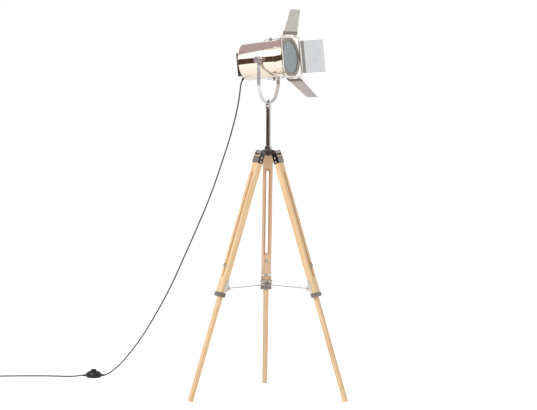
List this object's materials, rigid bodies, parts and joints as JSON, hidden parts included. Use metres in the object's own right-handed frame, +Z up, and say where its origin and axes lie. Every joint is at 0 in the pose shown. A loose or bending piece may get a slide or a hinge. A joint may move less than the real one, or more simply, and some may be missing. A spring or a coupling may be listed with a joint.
{
  "type": "tripod floor lamp",
  "caption": "Tripod floor lamp with a polished drum spotlight, hinged barn doors, telescoping wooden legs and an inline floor switch.",
  "frame": {"origin": "on the floor under the middle of the stand and head taken together; the pole stands 59.1 mm to -Y of it", "axes": "+Z up along the pole; +Y towards the back leg's foot; the lamp looks towards +X and -Y"},
  "size_m": [1.5125, 0.7025, 1.411],
  "materials": {
    "wood": "clear satin lacquer on pale solid wood",
    "bright_metal": "polished bright plating",
    "drum_metal": "polished bright plating on thin sheet",
    "door_metal": "plated thin sheet, soft bright",
    "dull_steel": "plated strip",
    "glass": "frosted",
    "white_porcelain": "glazed white",
    "black_plastic": "satin black moulding",
    "cord_sheath": "dark smooth sheath"
  },
  "bodies": {
    "stand": {"hub_casting": "bright_metal", "hub_hinge_pins": "bright_metal", "pole": "bright_metal", "pole_collar": "bright_metal", "pole_head_socket": "bright_metal", "yoke_bolt": "bright_metal", "bracket_left": "bright_metal", "leg_screws_left": "bright_metal", "upper_leg_left": "wood", "leg_collar_left": "bright_metal", "spreader_bracket_left": "bright_metal", "spreader_arm_left": "dull_steel", "bracket_back": "bright_metal", "leg_screws_back": "bright_metal", "upper_leg_back": "wood", "leg_collar_back": "bright_metal", "spreader_bracket_back": "bright_metal", "spreader_arm_back": "dull_steel", "bracket_right": "bright_metal", "leg_screws_right": "bright_metal", "upper_leg_right": "wood", "leg_collar_right": "bright_metal", "spreader_bracket_right": "bright_metal", "spreader_arm_right": "dull_steel", "spreader_hub": "bright_metal"},
    "foot_left": {"lower_leg_left": "wood", "lock_bolt_left": "bright_metal"},
    "nut_left": {"lock_nut_left": "bright_metal"},
    "foot_back": {"lower_leg_back": "wood", "lock_bolt_back": "bright_metal"},
    "nut_back": {"lock_nut_back": "bright_metal"},
    "foot_right": {"lower_leg_right": "wood", "lock_bolt_right": "bright_metal"},
    "nut_right": {"lock_nut_right": "bright_metal"},
    "yoke_set": {"yoke": "bright_metal", "cord_top": "cord_sheath", "cord_main": "cord_sheath", "cord_tail": "cord_sheath", "cord_coil": "cord_sheath", "switch_housing": "black_plastic", "plug": "black_plastic"},
    "head": {"barrel": "drum_metal", "rear_cover": "drum_metal", "cable_gland": "black_plastic", "lampholder": "white_porcelain", "lampholder_bracket": "bright_metal", "front_ring": "drum_metal", "lens_glass": "glass", "door_frame": "door_metal", "door_straps": "door_metal", "head_screws": "bright_metal"},
    "knob_near": {"tilt_knob_near": "bright_metal"},
    "knob_far": {"tilt_knob_far": "bright_metal"},
    "screw_top": {"strap_screw_top": "bright_metal"},
    "screw_bottom": {"strap_screw_bottom": "bright_metal"},
    "door_top": {"leaf_top": "door_metal"},
    "door_bottom": {"leaf_bottom": "door_metal"},
    "door_far": {"leaf_far": "door_metal"},
    "door_near": {"leaf_near": "door_metal"},
    "button": {"switch_button": "black_plastic"}
  },
  "joints": [
    {"name": "extend_left", "type": "slide", "parent": "stand", "child": "foot_left", "axis": [0.2705, 0.1562, 0.95], "range_m": [-0.038, 0.34]},
    {"name": "lock_left", "type": "hinge", "parent": "foot_left", "child": "nut_left", "pos_m": [-0.15627, -0.14935, 0.48913], "axis": [-0.8227, -0.475, 0.3123], "continuous": true},
    {"name": "extend_back", "type": "slide", "parent": "stand", "child": "foot_back", "axis": [0, -0.3123, 0.95], "range_m": [-0.038, 0.34]},
    {"name": "lock_back", "type": "hinge", "parent": "foot_back", "child": "nut_back", "pos_m": [0, 0.12131, 0.48913], "axis": [0, 0.95, 0.3123], "continuous": true},
    {"name": "extend_right", "type": "slide", "parent": "stand", "child": "foot_right", "axis": [-0.2705, 0.1562, 0.95], "range_m": [-0.038, 0.34]},
    {"name": "lock_right", "type": "hinge", "parent": "foot_right", "child": "nut_right", "pos_m": [0.15627, -0.14935, 0.48913], "axis": [0.8227, -0.475, 0.3123], "continuous": true},
    {"name": "pan", "type": "hinge", "parent": "stand", "child": "yoke_set", "pos_m": [0, -0.05913, 1.0715], "axis": [0, 0, 1], "range_deg": [-90, 90]},
    {"name": "tilt", "type": "hinge", "parent": "yoke_set", "child": "head", "pos_m": [0, -0.05913, 1.23], "axis": [-0.4772, -0.8788, 0], "range_deg": [-40, 28], "deforming": ["cord_top"]},
    {"name": "knob_turn_near", "type": "hinge", "parent": "head", "child": "knob_near", "pos_m": [-0.04294, -0.13822, 1.23], "axis": [-0.4772, -0.8788, 0], "continuous": true},
    {"name": "knob_turn_far", "type": "hinge", "parent": "head", "child": "knob_far", "pos_m": [0.04294, 0.01996, 1.23], "axis": [0.4772, 0.8788, 0], "continuous": true},
    {"name": "screw_turn_top", "type": "hinge", "parent": "head", "child": "screw_top", "pos_m": [0.00715, -0.06301, 1.30331], "axis": [-0.0949, 0.0515, 0.9942], "continuous": true},
    {"name": "screw_turn_bottom", "type": "hinge", "parent": "head", "child": "screw_bottom", "pos_m": [0.02081, -0.07043, 1.16015], "axis": [0.0949, -0.0515, -0.9942], "continuous": true},
    {"name": "door_top_hinge", "type": "hinge", "parent": "head", "child": "door_top", "pos_m": [0.07433, -0.09949, 1.31715], "axis": [-0.4772, -0.8788, 0], "range_deg": [-119, 29]},
    {"name": "door_bottom_hinge", "type": "hinge", "parent": "head", "child": "door_bottom", "pos_m": [0.08904, -0.10748, 1.16305], "axis": [0.4772, 0.8788, 0], "range_deg": [-95.5, 52.5]},
    {"name": "door_far_hinge", "type": "hinge", "parent": "head", "child": "door_far", "pos_m": [0.11867, -0.03538, 1.2401], "axis": [0.0949, -0.0515, -0.9942], "range_deg": [-47, 101]},
    {"name": "door_near_hinge", "type": "hinge", "parent": "head", "child": "door_near", "pos_m": [0.04471, -0.17159, 1.2401], "axis": [-0.0949, 0.0515, 0.9942], "range_deg": [-38, 110]},
    {"name": "button_press", "type": "slide", "parent": "yoke_set", "child": "button", "axis": [0, 0, -1], "range_m": [0, 0.0018], "stiffness_N_per_m": 300, "springref_m": -0.001}
  ]
}
